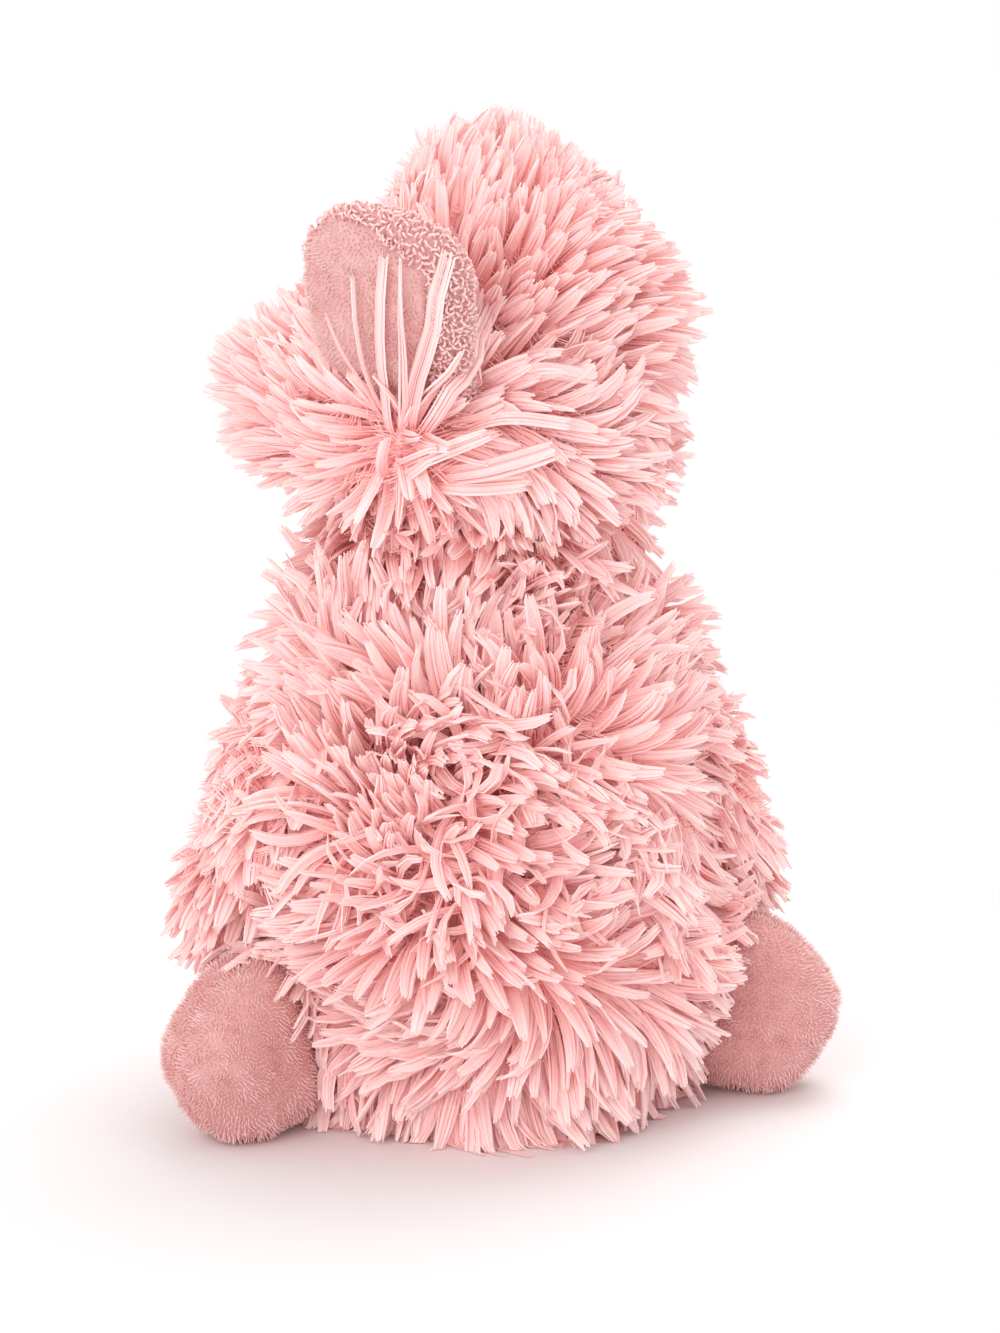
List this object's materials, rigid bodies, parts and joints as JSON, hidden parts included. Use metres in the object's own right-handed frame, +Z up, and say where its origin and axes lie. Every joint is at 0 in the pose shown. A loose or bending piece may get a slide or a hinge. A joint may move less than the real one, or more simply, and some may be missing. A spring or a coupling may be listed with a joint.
{
  "type": "plush goose",
  "caption": "Shaggy stuffed goose that sits upright with a turned head, an upturned paddle bill, small furry wings and soft webbed feet; a toy to hold or display.",
  "frame": {"origin": "middle of the flat base panel, on the floor", "axes": "+Z up along the trunk, -Y the way the trunk faces, +X the goose's left"},
  "size_m": [0.157, 0.1366, 0.2117],
  "materials": {
    "shaggy_pile": "long shaggy pink pile in flat locks",
    "bill_terry": "short curly pink loop pile",
    "bill_plush": "smooth short pink pile",
    "foot_plush": "short dusty rose pile with a soft sheen",
    "wing_lining": "short pink pile",
    "stuffing": "loose white polyester fibre",
    "pellet_pouch": "plain cloth pouch filled with pellets",
    "eye": "polished black",
    "eye_washer": "moulded white"
  },
  "bodies": {
    "trunk": {"belly_panel": "shaggy_pile", "back_left_panel": "shaggy_pile", "back_right_panel": "shaggy_pile", "base_panel": "foot_plush", "trunk_filling": "stuffing", "bean_bag": "pellet_pouch", "tail_cover": "shaggy_pile", "tail_filling": "stuffing"},
    "neck": {"neck_cover": "shaggy_pile", "neck_filling": "stuffing"},
    "head": {"head_left_panel": "shaggy_pile", "head_right_panel": "shaggy_pile", "head_filling": "stuffing", "bill_upper_panel": "bill_terry", "bill_lower_panel": "bill_plush", "bill_filling": "stuffing", "left_eye": "eye", "left_eye_washer": "eye_washer", "right_eye": "eye", "right_eye_washer": "eye_washer"},
    "left_wing": {"left_wing_outer_panel": "shaggy_pile", "left_wing_lining": "wing_lining", "left_wing_filling": "stuffing"},
    "right_wing": {"right_wing_outer_panel": "shaggy_pile", "right_wing_lining": "wing_lining", "right_wing_filling": "stuffing"},
    "left_leg": {"left_foot_sole_panel": "foot_plush", "left_foot_top_panel": "foot_plush", "left_foot_filling": "stuffing"},
    "right_leg": {"right_foot_sole_panel": "foot_plush", "right_foot_top_panel": "foot_plush", "right_foot_filling": "stuffing"}
  },
  "joints": [
    {"name": "head_turn", "type": "hinge", "parent": "trunk", "child": "neck", "pos_m": [0, 0, 0.124], "axis": [0, 0, 1], "range_deg": [-25, 90], "stiffness_Nm_per_rad": 0.05},
    {"name": "head_nod", "type": "hinge", "parent": "neck", "child": "head", "pos_m": [0, 0, 0.124], "axis": [0.7771, -0.6293, 0], "range_deg": [-15, 20], "stiffness_Nm_per_rad": 0.4},
    {"name": "left_wing_lift", "type": "hinge", "parent": "trunk", "child": "left_wing", "pos_m": [0.04355, 0, 0.10539], "axis": [0, -1, 0], "range_deg": [0, 75], "stiffness_Nm_per_rad": 0.03},
    {"name": "right_wing_lift", "type": "hinge", "parent": "trunk", "child": "right_wing", "pos_m": [-0.04355, 0, 0.10539], "axis": [0, 1, 0], "range_deg": [0, 75], "stiffness_Nm_per_rad": 0.03},
    {"name": "left_leg_swing", "type": "hinge", "parent": "trunk", "child": "left_leg", "pos_m": [0.04501, -0.00788, 0.027], "axis": [0, 0, -1], "range_deg": [-10, 25], "stiffness_Nm_per_rad": 0.03},
    {"name": "right_leg_swing", "type": "hinge", "parent": "trunk", "child": "right_leg", "pos_m": [-0.04501, -0.00788, 0.027], "axis": [0, 0, 1], "range_deg": [-10, 25], "stiffness_Nm_per_rad": 0.03}
  ]
}
